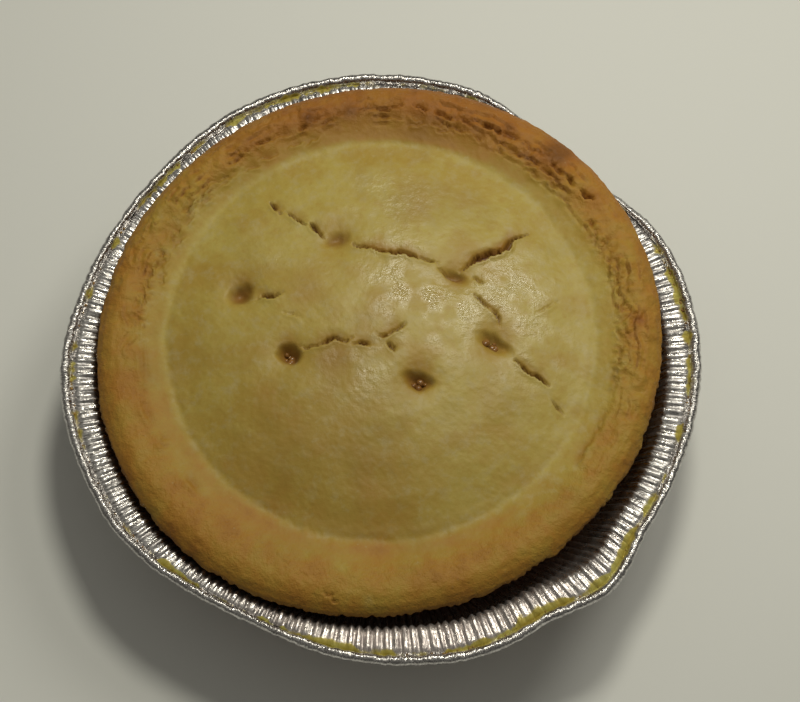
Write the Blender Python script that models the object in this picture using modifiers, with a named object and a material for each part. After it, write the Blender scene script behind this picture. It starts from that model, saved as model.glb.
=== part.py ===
"""A pork pie, uncut, sitting askew in the crimped foil dish it was baked in.

Metres, +Z up. The origin is at the middle of the dish's underside, where it rests.
The pie is a little high in the dish and has slid to the far side (+Y), so its
crust overhangs the rim there and a gap shows at the near side (-Y).
"""

import math

import bmesh
import bpy
from mathutils import Matrix, Vector, noise

MM = 0.001

# Foil dish: a five inch pie dish, sizes in millimetres
BASE_RADIUS = 43.1
WALL_FOOT_RADIUS = 43.9
WALL_FOOT_HEIGHT = 0.7
SHOULDER_RADIUS = 57.3
SHOULDER_HEIGHT = 26.7
FLANGE_RADIUS = 61.1
FLANGE_HEIGHT = 27.0
CHANNEL_RADIUS = 61.8
CHANNEL_HEIGHT = 26.5
BEAD_CENTRE_RADIUS = 62.75
BEAD_CENTRE_HEIGHT = 27.1
BEAD_RADIUS = 0.8
BEAD_TURNS = (250, 345, 75, 140)
FOIL_THICKNESS = 0.45
FLUTES = 72
FLUTE_DEPTH = 0.3
FLUTE_RISE = 0.2

# Dents: angle, spread to each side (degrees), push of the wall, push of the rim
# beyond it, drop of the rim (millimetres)
DISH_DENTS = (
    (47, 27, 2.2, -4.4, 4.6),
    (95, 50, 1.7, 0.0, 0.0),
    (150, 34, 0.0, -1.3, 0.0),
    (186, 22, 0.4, 0.4, 0.0),
    (244, 32, -0.9, -2.0, 0.3),
    (288, 18, 0.7, 0.4, 0.0),
    (312, 13, 2.0, 0.6, 0.2),
    (5, 30, 0.3, 0.6, 0.0),
)

# Pie: heights are above the widest line of the crust
PIE_PLACE = (-0.1, 2.4, 29.6)
PIE_TILT = 1.1
CRUST_RADIUS = 57.0
CRUST_STRETCH = 1.1
CRUST_STRETCH_ANGLE = 50
PIE_DEPTH = 28.05
GROOVE_RADIUS = 42.8
TOP_PROFILE = (
    (0.0, 7.4),
    (10.0, 7.1),
    (20.0, 6.2),
    (28.0, 5.1),
    (35.0, 3.6),
    (40.0, 2.2),
    (GROOVE_RADIUS, 1.7),
    (45.5, 2.1),
    (48.0, 2.8),
    (49.5, 3.2),
    (51.0, 3.5),
    (52.3, 3.6),
    (53.6, 3.4),
    (55.3, 2.5),
    (56.6, 1.1),
    (CRUST_RADIUS, 0.0),
)
UNDER_PROFILE = (
    (56.4, -1.0),
    (55.2, -2.0),
    (41.8, 2.2 - PIE_DEPTH),
    (38.8, -PIE_DEPTH),
    (0.0, -PIE_DEPTH),
)
TOOTH_DEPTH = 0.35
LUMP_HEIGHT = 0.35
LUMP_SIZE = 9.0
RAGGED_HEIGHT = 0.3
RAGGED_SIZE = 3.0

# Crags torn along the browned crest: start and end angle (degrees), radius,
# half width, depth (millimetres)
CRAGS = (
    (34, 66, 51.3, 1.1, 2.4),
    (62, 96, 50.6, 1.0, 1.9),
    (38, 84, 47.6, 0.9, 1.2),
    (98, 128, 49.4, 0.9, 1.2),
    (132, 176, 48.2, 0.9, 1.1),
    (-12, 30, 48.3, 0.9, 1.2),
)

# Vents: x, y, long radius, short radius, turn (degrees), depth (millimetres)
VENTS = (
    (-8.8, 19.2, 1.7, 1.5, 0, 1.0),
    (-27.9, 7.7, 2.2, 2.0, 20, 4.0),
    (-17.8, -6.1, 2.1, 1.9, -40, 6.0),
    (7.5, -11.7, 2.6, 1.9, -15, 4.5),
    (22.5, -3.5, 3.0, 1.7, -33, 4.0),
    (15.1, 10.4, 1.7, 1.4, 0, 1.0),
)
VENT_SIDES = 14
VENT_NARROWING = 0.55
VENT_HOLLOW = 0.9
VENT_HOLLOW_SIZE = 4.0

# Cracks in the lid: widest width, depth, and the points they run through
CRACKS = (
    (0.8, 1.8, ((-22.7, 28.4), (-20.0, 25.4), (-16.2, 23.3), (-13.0, 21.3), (-10.6, 19.6))),
    (1.0, 2.2, ((-6.0, 18.2), (-3.9, 16.9), (1.2, 15.8), (5.0, 15.8), (10.4, 13.9), (13.4, 11.0))),
    (1.5, 2.6, ((16.4, 12.2), (18.5, 14.2), (22.0, 16.0), (25.6, 17.8), (27.0, 19.8), (30.0, 21.5))),
    (0.7, 1.4, ((18.6, 7.2), (20.6, 4.6), (22.9, 2.9), (23.6, 0.6))),
    (0.9, 1.8, ((26.2, -6.1), (28.6, -8.6), (31.2, -10.1), (33.7, -12.1))),
    (0.8, 1.6, ((-15.4, -4.5), (-12.6, -4.5), (-9.8, -3.2), (-6.8, -3.7), (-4.0, -4.1), (-0.8, -4.9))),
    (0.7, 1.4, ((-1.1, -2.1), (0.9, -2.7), (2.9, -1.5), (5.2, 0.0))),
    (0.7, 1.4, ((-25.0, 5.9), (-23.0, 6.6), (-20.9, 6.3), (-19.0, 7.3))),
)
CRACK_END_WIDTH = 0.15
CRACK_ABOVE = 1.2

TURN_STEPS = 2 * FLUTES
WELD = 0.00001


def clear_scene():
    for thing in list(bpy.context.scene.objects):
        bpy.data.objects.remove(thing, do_unlink=True)


def new_collection(name):
    group = bpy.data.collections.new(name)
    bpy.context.scene.collection.children.link(group)
    return group


def plain_material(name, colour, roughness, metallic):
    surface = bpy.data.materials.new(name)
    surface.use_nodes = True
    shader = surface.node_tree.nodes["Principled BSDF"]
    shader.inputs["Base Color"].default_value = (*colour, 1.0)
    shader.inputs["Roughness"].default_value = roughness
    shader.inputs["Metallic"].default_value = metallic
    return surface


def to_metres(x, y, z):
    return Vector((x * MM, y * MM, z * MM))


def smooth_round(mesh, sharp_angle):
    mesh.shade_smooth()
    mesh.set_sharp_from_angle(angle=math.radians(sharp_angle))


def evaluated_mesh(source, name):
    """Return the object's mesh with its modifiers applied and its seams welded."""
    graph = bpy.context.evaluated_depsgraph_get()
    mesh = bpy.data.meshes.new_from_object(source.evaluated_get(graph))
    mesh.name = name
    work = bmesh.new()
    work.from_mesh(mesh)
    bmesh.ops.remove_doubles(work, verts=work.verts, dist=WELD)
    work.to_mesh(mesh)
    work.free()
    return mesh


def turned_mesh(name, profile):
    """Turn a profile of (radius, height) pairs, listed from the top down, about Z."""
    outline = bpy.data.meshes.new(name + "_profile")
    points = [to_metres(radius, 0.0, height) for radius, height in profile]
    edges = [(i, i + 1) for i in range(len(points) - 1)]
    outline.from_pydata(points, edges, [])
    blank = bpy.data.objects.new(name + "_profile", outline)
    bpy.context.scene.collection.objects.link(blank)
    turn = blank.modifiers.new("turn", "SCREW")
    turn.axis = "Z"
    turn.steps = TURN_STEPS
    turn.render_steps = TURN_STEPS
    turn.use_merge_vertices = True
    turn.merge_threshold = WELD
    mesh = evaluated_mesh(blank, name)
    bpy.data.objects.remove(blank, do_unlink=True)
    return mesh


def lobe(angle, centre, spread):
    """One at the centre angle, falling smoothly to nothing at the spread."""
    away = (angle - centre + 180.0) % 360.0 - 180.0
    if abs(away) >= spread:
        return 0.0
    return 0.5 + 0.5 * math.cos(math.pi * away / spread)


def between(value, low, high):
    return min(1.0, max(0.0, (value - low) / (high - low)))


def move_vertices(mesh, rule):
    """Move each vertex by a rule on its radius, angle in degrees and height."""
    for vertex in mesh.vertices:
        x, y, z = vertex.co / MM
        radius = math.hypot(x, y)
        angle = math.degrees(math.atan2(y, x)) % 360.0
        radius, height = rule(radius, angle, z)
        turn = math.radians(angle)
        vertex.co = to_metres(radius * math.cos(turn), radius * math.sin(turn), height)


def dish_profile():
    """Outer skin of the dish, from the lip of its rolled bead down to the middle."""
    bead = []
    for turn in BEAD_TURNS:
        around = math.radians(turn)
        radius = BEAD_CENTRE_RADIUS + BEAD_RADIUS * math.cos(around)
        bead.append((radius, BEAD_CENTRE_HEIGHT + BEAD_RADIUS * math.sin(around)))
    return bead + [
        (CHANNEL_RADIUS, CHANNEL_HEIGHT),
        (FLANGE_RADIUS, FLANGE_HEIGHT),
        (SHOULDER_RADIUS, SHOULDER_HEIGHT),
        (0.5 * (SHOULDER_RADIUS + WALL_FOOT_RADIUS), 0.5 * SHOULDER_HEIGHT),
        (WALL_FOOT_RADIUS, WALL_FOOT_HEIGHT),
        (BASE_RADIUS, 0.0),
        (0.0, 0.0),
    ]


def dent_dish(radius, angle, height):
    """Crimp the wall and flange, and press the handled dents into them."""
    rise = between(height, WALL_FOOT_HEIGHT, SHOULDER_HEIGHT)
    reach = between(radius, SHOULDER_RADIUS, BEAD_CENTRE_RADIUS)
    flange = rise * between(radius, CHANNEL_RADIUS, FLANGE_RADIUS)
    flute = math.cos(math.radians(FLUTES * angle))
    pushed = radius - FLUTE_DEPTH * flute * rise * (1.0 - reach)
    raised = height + FLUTE_RISE * flute * flange * rise ** 4
    for centre, spread, wall_push, rim_push, rim_drop in DISH_DENTS:
        share = lobe(angle, centre, spread)
        pushed += share * (wall_push * rise ** 1.5 + rim_push * reach)
        raised -= share * rim_drop * reach
    return pushed, raised


def make_dish(group):
    mesh = turned_mesh("foil_dish", dish_profile())
    move_vertices(mesh, dent_dish)
    smooth_round(mesh, 40)
    mesh.materials.append(plain_material("foil", (0.66, 0.64, 0.60), 0.32, 1.0))
    dish = bpy.data.objects.new("foil_dish", mesh)
    group.objects.link(dish)
    wall = dish.modifiers.new("wall", "SOLIDIFY")
    wall.thickness = FOIL_THICKNESS * MM
    wall.offset = -1.0
    return dish


def top_height(radius):
    """Height of the smooth pie top at a radius, before its lumps and crags."""
    for (inner, inner_height), (outer, outer_height) in zip(TOP_PROFILE, TOP_PROFILE[1:]):
        if radius <= outer:
            share = between(radius, inner, outer)
            return inner_height + share * (outer_height - inner_height)
    return 0.0


def crag_depth(radius, angle):
    """How far the torn crags sink the crust at a place on its top."""
    sunk = 0.0
    for start, end, ring, half_width, depth in CRAGS:
        middle = 0.5 * (start + end)
        along = lobe(angle, middle, 0.5 * (end - start) + 4.0)
        wander = 1.2 * noise.noise(Vector((angle * 0.11, ring, 3.0)))
        across = math.exp(-((radius - ring - wander) / half_width) ** 2)
        raggedness = 0.7 + 0.6 * noise.noise(Vector((angle * 0.35, ring, 7.0)))
        sunk += depth * raggedness * across * min(1.0, 2.0 * along)
    return sunk


def vent_hollow(x, y):
    """The slight sag of the lid round each vent."""
    sag = 0.0
    for vent_x, vent_y, *_ in VENTS:
        away = math.hypot(x - vent_x, y - vent_y)
        sag += VENT_HOLLOW * math.exp(-(away / VENT_HOLLOW_SIZE) ** 2)
    return sag


def lump(x, y, size, seed):
    return noise.noise(Vector((x / size, y / size, seed)))


def shape_pie(radius, angle, height):
    """Make the crust oval, its lid lumpy, its crest torn and its wall fluted."""
    turn = math.radians(angle)
    x = radius * math.cos(turn)
    y = radius * math.sin(turn)
    stretch = math.cos(2.0 * math.radians(angle - CRUST_STRETCH_ANGLE))
    outward = between(radius, GROOVE_RADIUS, CRUST_RADIUS)
    pushed = radius + CRUST_STRETCH * stretch * outward
    raised = height
    on_top = between(height, 0.0, 1.0)
    raised += on_top * LUMP_HEIGHT * lump(x, y, LUMP_SIZE, 1.0)
    raised += outward * on_top * RAGGED_HEIGHT * lump(x, y, RAGGED_SIZE, 5.0)
    raised -= on_top * (crag_depth(radius, angle) + vent_hollow(x, y))
    on_wall = between(height, -PIE_DEPTH + 2.0, -2.0) * between(height, 0.5, -0.5)
    pushed -= on_wall * TOOTH_DEPTH * math.cos(math.radians(FLUTES * angle))
    return pushed, raised


def add_cutter(group, seat, name, mesh):
    cutter = bpy.data.objects.new(name, mesh)
    group.objects.link(cutter)
    cutter.parent = seat
    cutter.hide_render = True
    cutter.display_type = "WIRE"
    return cutter


def vent_mesh(name, vent):
    """A tapered oval plug, standing through the lid at its vent."""
    x, y, long_radius, short_radius, turn, depth = vent
    top = top_height(math.hypot(x, y)) - VENT_HOLLOW
    height = depth + CRACK_ABOVE
    work = bmesh.new()
    bmesh.ops.create_cone(
        work,
        cap_ends=True,
        segments=VENT_SIDES,
        radius1=VENT_NARROWING * MM,
        radius2=MM,
        depth=height * MM,
    )
    bmesh.ops.scale(work, vec=(long_radius, short_radius, 1.0), verts=work.verts)
    spin = Matrix.Rotation(math.radians(turn), 3, "Z")
    bmesh.ops.rotate(work, cent=(0, 0, 0), matrix=spin, verts=work.verts)
    bmesh.ops.translate(work, vec=to_metres(x, y, top - depth + 0.5 * height), verts=work.verts)
    mesh = bpy.data.meshes.new(name)
    work.to_mesh(mesh)
    work.free()
    return mesh


def crack_outline(width, points):
    """Both sides of a crack that narrows to its two ends, as one closed outline."""
    path = [Vector(point) for point in points]
    left = []
    right = []
    for i, point in enumerate(path):
        ahead = path[min(i + 1, len(path) - 1)] - path[max(i - 1, 0)]
        side = Vector((-ahead.y, ahead.x)).normalized()
        share = math.sin(math.pi * i / (len(path) - 1)) ** 0.6
        half = 0.5 * (CRACK_END_WIDTH + (width - CRACK_END_WIDTH) * share)
        left.append(point + side * half)
        right.append(point - side * half)
    return left + right[::-1]


def crack_mesh(group, name, crack):
    """An upright blade whose edges follow the lid above and below its surface."""
    width, depth, points = crack
    outline = crack_outline(width, points)
    curve = bpy.data.curves.new(name, "CURVE")
    curve.dimensions = "2D"
    curve.fill_mode = "BOTH"
    curve.extrude = MM
    spline = curve.splines.new("POLY")
    spline.points.add(len(outline) - 1)
    for place, corner in zip(spline.points, outline):
        place.co = (corner.x * MM, corner.y * MM, 0.0, 1.0)
    spline.use_cyclic_u = True
    blank = bpy.data.objects.new(name, curve)
    group.objects.link(blank)
    mesh = evaluated_mesh(blank, name)
    bpy.data.objects.remove(blank, do_unlink=True)
    for vertex in mesh.vertices:
        x, y = vertex.co.x / MM, vertex.co.y / MM
        surface = top_height(math.hypot(x, y)) - vent_hollow(x, y)
        offset = CRACK_ABOVE if vertex.co.z > 0.0 else -depth
        vertex.co.z = (surface + offset) * MM
    return mesh


def make_pie(group, cutter_group):
    seat = bpy.data.objects.new("pie_seat", None)
    seat.location = to_metres(*PIE_PLACE)
    seat.rotation_euler = (math.radians(PIE_TILT), 0.0, 0.0)
    group.objects.link(seat)
    for i, vent in enumerate(VENTS):
        name = f"vent_cutter_{i}"
        add_cutter(cutter_group, seat, name, vent_mesh(name, vent))
    for i, crack in enumerate(CRACKS):
        name = f"crack_cutter_{i}"
        add_cutter(cutter_group, seat, name, crack_mesh(cutter_group, name, crack))
    mesh = turned_mesh("pie", TOP_PROFILE + UNDER_PROFILE)
    move_vertices(mesh, shape_pie)
    smooth_round(mesh, 50)
    mesh.materials.append(plain_material("crust", (0.40, 0.26, 0.09), 0.6, 0.0))
    pie = bpy.data.objects.new("pie", mesh)
    group.objects.link(pie)
    pie.parent = seat
    cut = pie.modifiers.new("vents_and_cracks", "BOOLEAN")
    cut.operation = "DIFFERENCE"
    cut.solver = "EXACT"
    cut.operand_type = "COLLECTION"
    cut.collection = cutter_group
    return pie


def main():
    clear_scene()
    group = new_collection("pork_pie")
    cutter_group = new_collection("pork_pie_cutters")
    make_dish(group)
    make_pie(group, cutter_group)


main()
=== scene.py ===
import math
from types import SimpleNamespace

import bpy
import numpy as np
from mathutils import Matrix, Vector


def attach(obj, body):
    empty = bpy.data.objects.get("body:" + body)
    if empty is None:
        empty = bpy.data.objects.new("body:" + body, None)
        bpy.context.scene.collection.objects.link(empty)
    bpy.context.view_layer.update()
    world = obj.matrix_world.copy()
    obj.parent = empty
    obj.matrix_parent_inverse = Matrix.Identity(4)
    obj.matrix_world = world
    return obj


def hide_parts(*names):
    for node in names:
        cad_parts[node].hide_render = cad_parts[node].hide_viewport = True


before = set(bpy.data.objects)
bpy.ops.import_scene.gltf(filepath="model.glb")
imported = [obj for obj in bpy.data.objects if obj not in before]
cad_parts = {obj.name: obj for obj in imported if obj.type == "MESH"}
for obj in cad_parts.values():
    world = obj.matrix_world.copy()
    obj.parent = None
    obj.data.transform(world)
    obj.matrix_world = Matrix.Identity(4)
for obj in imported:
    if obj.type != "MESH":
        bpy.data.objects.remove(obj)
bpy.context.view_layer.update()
mm = 0.001
print("pork pie: frame loaded")


# noise and small helpers, all on whole arrays at once

def hashed(ix, iy, iz, seed):
    mixed = (ix * 73856093) ^ (iy * 19349663) ^ (iz * 83492791) ^ (seed * 7919)
    mixed = ((mixed ^ (mixed >> 13)) * 1274126177) & 0x7FFFFFFF
    mixed = mixed ^ (mixed >> 15)
    return (mixed & 0xFFFF) / 32767.5 - 1.0


def valueNoise(x, y, z=0.0, seed=0):  # -1 to 1, smooth over a unit
    x, y, z = np.broadcast_arrays(x, y, z)
    ix, iy, iz = (np.floor(a).astype(np.int64) for a in (x, y, z))
    fx, fy, fz = (a - b for a, b in ((x, ix), (y, iy), (z, iz)))
    fx, fy, fz = (a * a * (3 - 2 * a) for a in (fx, fy, fz))
    total = 0.0
    for dx in (0, 1):
        for dy in (0, 1):
            for dz in (0, 1):
                weight = (fx if dx else 1 - fx) * (fy if dy else 1 - fy) * (fz if dz else 1 - fz)
                total = total + weight * hashed(ix + dx, iy + dy, iz + dz, seed)
    return total


def fractal(x, y, z=0.0, octaves=3, seed=0):
    total, share = 0.0, 0.55
    for i in range(octaves):
        total = total + share * valueNoise(x * 2 ** i, y * 2 ** i, z * 2 ** i, seed + 17 * i)
        share *= 0.5
    return total


def between(value, low, high):
    step = np.clip((value - low) / (high - low), 0.0, 1.0)
    return step * step * (3 - 2 * step)


def bell(away, width):
    return np.exp(-(away / width) ** 2)


def lobe(angle, centre, spread):
    away = (angle - centre + 180.0) % 360.0 - 180.0
    return np.where(abs(away) < spread, 0.5 + 0.5 * np.cos(np.pi * away / spread), 0.0)


def show(made):
    bpy.context.scene.collection.objects.link(made)


def makeObject(name, points, faces, attributes=None):  # points in metres
    mesh = bpy.data.meshes.new(name)
    mesh.from_pydata(points.tolist(), [], faces if isinstance(faces, list) else faces.tolist())
    for label, values in (attributes or {}).items():
        layer = mesh.attributes.new(label, "FLOAT", "POINT")
        layer.data.foreach_set("value", np.asarray(values, dtype=np.float32))
    mesh.shade_smooth()
    made = bpy.data.objects.new(name, mesh)
    show(made)
    return made


def asPlainMesh(made, name):  # bakes the modifiers in and drops them
    graph = bpy.context.evaluated_depsgraph_get()
    mesh = bpy.data.meshes.new_from_object(made.evaluated_get(graph))
    mesh.name = name
    made.modifiers.clear()
    made.data = mesh
    return made


# shader helpers

def newMaterial(name):
    made = bpy.data.materials.new(name)
    made.use_nodes = True
    return made, made.node_tree, made.node_tree.nodes["Principled BSDF"]


def link(tree, output, socket):
    tree.links.new(output, socket)


def feed(tree, socket, value):
    if hasattr(value, "is_output"):
        tree.links.new(value, socket)
    else:
        socket.default_value = value


def mathNode(tree, operation, *values):
    node = tree.nodes.new("ShaderNodeMath")
    node.operation = operation
    for socket, value in zip(node.inputs, values):
        feed(tree, socket, value)
    return node.outputs[0]


def times(tree, first, second):
    return mathNode(tree, "MULTIPLY", first, second)


def remap(tree, value, low, high, newLow=0.0, newHigh=1.0):
    node = tree.nodes.new("ShaderNodeMapRange")
    for socket, given in zip(node.inputs, (value, low, high, newLow, newHigh)):
        feed(tree, socket, given)
    return node.outputs[0]


def mixColour(tree, share, first, second, blend="MIX"):
    node = tree.nodes.new("ShaderNodeMix")
    node.data_type = "RGBA"
    node.blend_type = blend
    feed(tree, node.inputs["Factor"], share)
    feed(tree, node.inputs[6], first)
    feed(tree, node.inputs[7], second)
    return node.outputs[2]


def colourRamp(tree, value, stops):
    node = tree.nodes.new("ShaderNodeValToRGB")
    ramp = node.color_ramp
    ramp.elements[0].position, ramp.elements[0].color = stops[0][0], (*stops[0][1], 1)
    ramp.elements[1].position, ramp.elements[1].color = stops[-1][0], (*stops[-1][1], 1)
    for place, colour in stops[1:-1]:
        ramp.elements.new(place).color = (*colour, 1)
    feed(tree, node.inputs[0], value)
    return node.outputs[0]


def painted(tree, name):
    node = tree.nodes.new("ShaderNodeAttribute")
    node.attribute_name = name
    return node.outputs["Fac"]


def noiseNode(tree, place, scale, detail=3.0, rough=0.55):
    node = tree.nodes.new("ShaderNodeTexNoise")
    feed(tree, node.inputs["Vector"], place)
    feed(tree, node.inputs["Scale"], scale)
    node.inputs["Detail"].default_value = detail
    node.inputs["Roughness"].default_value = rough
    return node.outputs["Fac"]


def bumpNode(tree, height, strength, distance, below=None):
    node = tree.nodes.new("ShaderNodeBump")
    feed(tree, node.inputs["Strength"], strength)
    node.inputs["Distance"].default_value = distance
    feed(tree, node.inputs["Height"], height)
    if below is not None:
        link(tree, below, node.inputs["Normal"])
    return node.outputs["Normal"]


def groupNode(tree, group, **values):
    node = tree.nodes.new("ShaderNodeGroup")
    node.node_tree = group
    for name, value in values.items():
        feed(tree, node.inputs[name], value)
    return node.outputs


def makeMottleGroup():  # broad blotches and fine grain, shared by everything baked
    group = bpy.data.node_groups.new("bakedMottle", "ShaderNodeTree")
    for name, size in (("Blotch Scale", 120.0), ("Grain Scale", 1400.0)):
        socket = group.interface.new_socket(name, in_out="INPUT", socket_type="NodeSocketFloat")
        socket.default_value = size
    for name in ("Blotch", "Grain", "Speck"):
        group.interface.new_socket(name, in_out="OUTPUT", socket_type="NodeSocketFloat")
    start = group.nodes.new("NodeGroupInput")
    end = group.nodes.new("NodeGroupOutput")
    place = group.nodes.new("ShaderNodeTexCoord").outputs["Object"]
    blotch = noiseNode(group, place, start.outputs["Blotch Scale"], 5.0, 0.6)
    grain = noiseNode(group, place, start.outputs["Grain Scale"], 3.0, 0.6)
    speck = group.nodes.new("ShaderNodeTexVoronoi")
    link(group, place, speck.inputs["Vector"])
    link(group, start.outputs["Grain Scale"], speck.inputs["Scale"])
    link(group, blotch, end.inputs["Blotch"])
    link(group, grain, end.inputs["Grain"])
    link(group, speck.outputs["Distance"], end.inputs["Speck"])
    return group


mottleGroup = makeMottleGroup()

# camera: fitted to the dish's rim, looking along +Y from 67 degrees up
view = {
    "elevation": 67.0,
    "distance": 350.0,
    "lens": 78.1,
    "aim": (3.85, 0.3, 27.4),
}


def makeCamera():
    tilt = math.radians(view["elevation"])
    back = Vector((0, -math.cos(tilt), math.sin(tilt)))
    lensData = bpy.data.cameras.new("photoCamera")
    lensData.lens = view["lens"]
    lensData.sensor_width = 36.0
    lensData.clip_start = 0.01
    eye = bpy.data.objects.new("photoCamera", lensData)
    eye.location = Vector(view["aim"]) * mm + back * view["distance"] * mm
    eye.rotation_euler = back.to_track_quat("Z", "Y").to_euler()
    show(eye)
    bpy.context.scene.camera = eye


makeCamera()

# light: high on the far side and a little right, with a second softer source beside it
lamps = {
    "key": {"towards": (3.0, 9.5, 27.0), "away": 0.46, "size": 0.085, "power": 0.75,
            "tint": (1.0, 0.965, 0.82)},
    "second": {"towards": (13.0, 12.0, 24.0), "away": 0.47, "size": 0.17, "power": 0.46,
               "tint": (1.0, 0.965, 0.84)},
    "skyTop": (0.30, 0.29, 0.255),
    "skyEdge": (0.055, 0.052, 0.046),
    "floorColour": (0.745, 0.755, 0.73),
}


def makeLights():
    for name in ("key", "second"):
        lamp = lamps[name]
        data = bpy.data.lights.new(name + "Lamp", "AREA")
        data.shape = "DISK"
        data.size = lamp["size"]
        data.energy = lamp["power"]
        data.color = lamp["tint"]
        towards = Vector(lamp["towards"]).normalized()
        holder = bpy.data.objects.new(name + "Lamp", data)
        holder.location = towards * lamp["away"]
        holder.visible_camera = False
        holder.rotation_euler = towards.to_track_quat("Z", "Y").to_euler()
        show(holder)
    sky = bpy.data.worlds.new("softRoom")
    sky.use_nodes = True
    tree = sky.node_tree
    split = tree.nodes.new("ShaderNodeSeparateXYZ")
    link(tree, tree.nodes.new("ShaderNodeTexCoord").outputs["Generated"], split.inputs[0])
    stops = ((0.0, lamps["skyEdge"]), (0.45, lamps["skyEdge"]), (1.0, lamps["skyTop"]))
    link(tree, colourRamp(tree, split.outputs["Z"], stops), tree.nodes["Background"].inputs["Color"])
    bpy.context.scene.world = sky
    bpy.context.scene.view_settings.view_transform = "Standard"   # colours as mixed


def makeFloor():
    half = 6.0
    corners = np.array([(-half, -half, 0), (half, -half, 0), (half, half, 0), (-half, half, 0)])
    floor = makeObject("paleFloor", corners, [(0, 1, 2, 3)])
    surface, tree, shader = newMaterial("paleFloor")
    shader.inputs["Base Color"].default_value = (*lamps["floorColour"], 1)
    shader.inputs["Roughness"].default_value = 0.8
    floor.data.materials.append(surface)


makeLights()
makeFloor()
print("pork pie: camera, light and floor")

# the pie: same named sizes as the solid, in millimetres about its own seat
pie = {
    "place": (-0.1, 2.4, 29.6),
    "tilt": 1.1,
    "crustRadius": 57.0,
    "stretch": 1.1,
    "stretchAngle": 50.0,
    "depth": 28.05,
    "grooveRadius": 42.8,
    "top": ((0, 7.4), (10, 7.1), (20, 6.2), (28, 5.1), (35, 3.6), (40, 2.2), (42.8, 1.7), (45.5, 2.1),
            (48, 2.8), (49.5, 3.2), (51, 3.5), (52.3, 3.6), (53.6, 3.4), (55.3, 2.5), (56.6, 1.1), (57, 0)),
    "under": ((56.95, -0.4), (56.7, -0.8), (56.3, -1.15), (55.8, -1.6), (55.2, -2.1), (53.9, -4.4),
              (52.3, -7.3), (50.6, -10.3), (48.4, -14.2), (46.2, -18.1), (43.6, -22.7), (41.8, -25.85),
              (40.6, -27.3), (38.8, -28.05)),
    "rings": 160,
    "teeth": 216,
    "toothDepth": 0.34,
}

# x, y, long radius, short radius, turn, depth (mm and degrees), how dark inside
vents = (
    (-8.8, 19.2, 2.3, 1.8, 20, 1.3, 0.6),
    (-27.9, 7.7, 2.5, 2.0, 20, 2.4, 0.8),
    (-17.8, -6.1, 2.2, 1.9, -40, 4.2, 1.0),
    (7.5, -11.7, 2.8, 1.7, -15, 3.2, 0.8),
    (22.5, -3.5, 3.2, 1.6, -33, 2.2, 0.4),
    (15.1, 10.4, 2.1, 1.1, -25, 1.3, 0.6),
)

# cracks of the lid: widest width, depth, lift of the near lip, path
cracks = (
    (1.00, 1.7, 0.32, ((-22.7, 28.4), (-21.4, 26.6), (-20.3, 25.2))),
    (1.00, 1.7, 0.28, ((-19.4, 25.9), (-17.2, 24.0), (-15.1, 22.6))),
    (1.05, 1.8, 0.32, ((-14.6, 23.5), (-12.7, 21.0), (-11.2, 19.4))),
    (1.20, 2.0, 0.48, ((-5.8, 18.2), (-4.4, 17.1), (-1.6, 16.8), (1.2, 15.8), (2.7, 15.6), (4.8, 15.9),
                       (7.6, 14.5), (10.1, 13.9), (11.4, 13.6))),
    (0.80, 1.4, 0.25, ((11.4, 13.4), (11.8, 11.9), (13.6, 10.7), (15.1, 10.1), (16.6, 10.4))),
    (1.60, 2.6, 0.55, ((15.9, 11.9), (17.5, 13.0), (18.5, 14.3), (20.3, 15.1), (21.9, 16.0), (23.5, 16.7),
                       (25.6, 17.8), (26.7, 19.8), (28.4, 20.5), (30.0, 21.5))),
    (0.75, 1.3, 0.20, ((18.6, 10.6), (19.6, 9.8), (20.7, 9.3))),
    (0.80, 1.5, 0.28, ((18.8, 7.0), (20.1, 5.1), (21.5, 3.9), (22.9, 2.9), (23.6, 1.5), (23.6, 0.0))),
    (0.95, 1.8, 0.35, ((26.2, -6.1), (27.4, -7.6), (29.2, -9.2), (31.2, -10.1), (32.7, -11.4),
                       (33.7, -12.1))),
    (0.50, 0.9, 0.12, ((33.7, -14.6), (34.6, -15.8), (35.8, -17.3))),
    (0.90, 1.8, 0.35, ((-15.8, -4.2), (-14.6, -4.8), (-12.6, -4.5), (-10.6, -4.0), (-10.1, -3.3),
                       (-8.7, -3.1), (-6.8, -3.7), (-5.6, -3.1))),
    (0.75, 1.4, 0.22, ((-5.3, -4.4), (-3.9, -4.0), (-0.8, -4.9))),
    (0.85, 1.6, 0.28, ((-1.1, -2.1), (0.9, -2.7), (2.7, -1.6), (4.2, -0.8), (5.2, 0.2))),
    (0.75, 1.4, 0.22, ((1.2, -4.0), (2.5, -4.9), (3.4, -6.3))),
    (1.00, 1.6, 0.34, ((-24.9, 5.9), (-23.4, 6.7), (-20.9, 6.3), (-19.3, 7.3))),
    (0.50, 0.9, 0.12, ((31.1, 3.5), (32.6, 4.2), (34.3, 5.5), (35.8, 6.4))),
    (0.40, 0.7, 0.10, ((-19.5, 2.7), (-17.4, 2.2), (-15.4, 1.4))),
    (0.60, 0.6, 0.15, ((-10.6, -52.6), (-9.2, -53.3), (-7.6, -52.8))),
    (0.50, 0.6, 0.10, ((-9.2, -53.3), (-8.6, -54.3), (-7.2, -54.6))),
)

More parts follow.
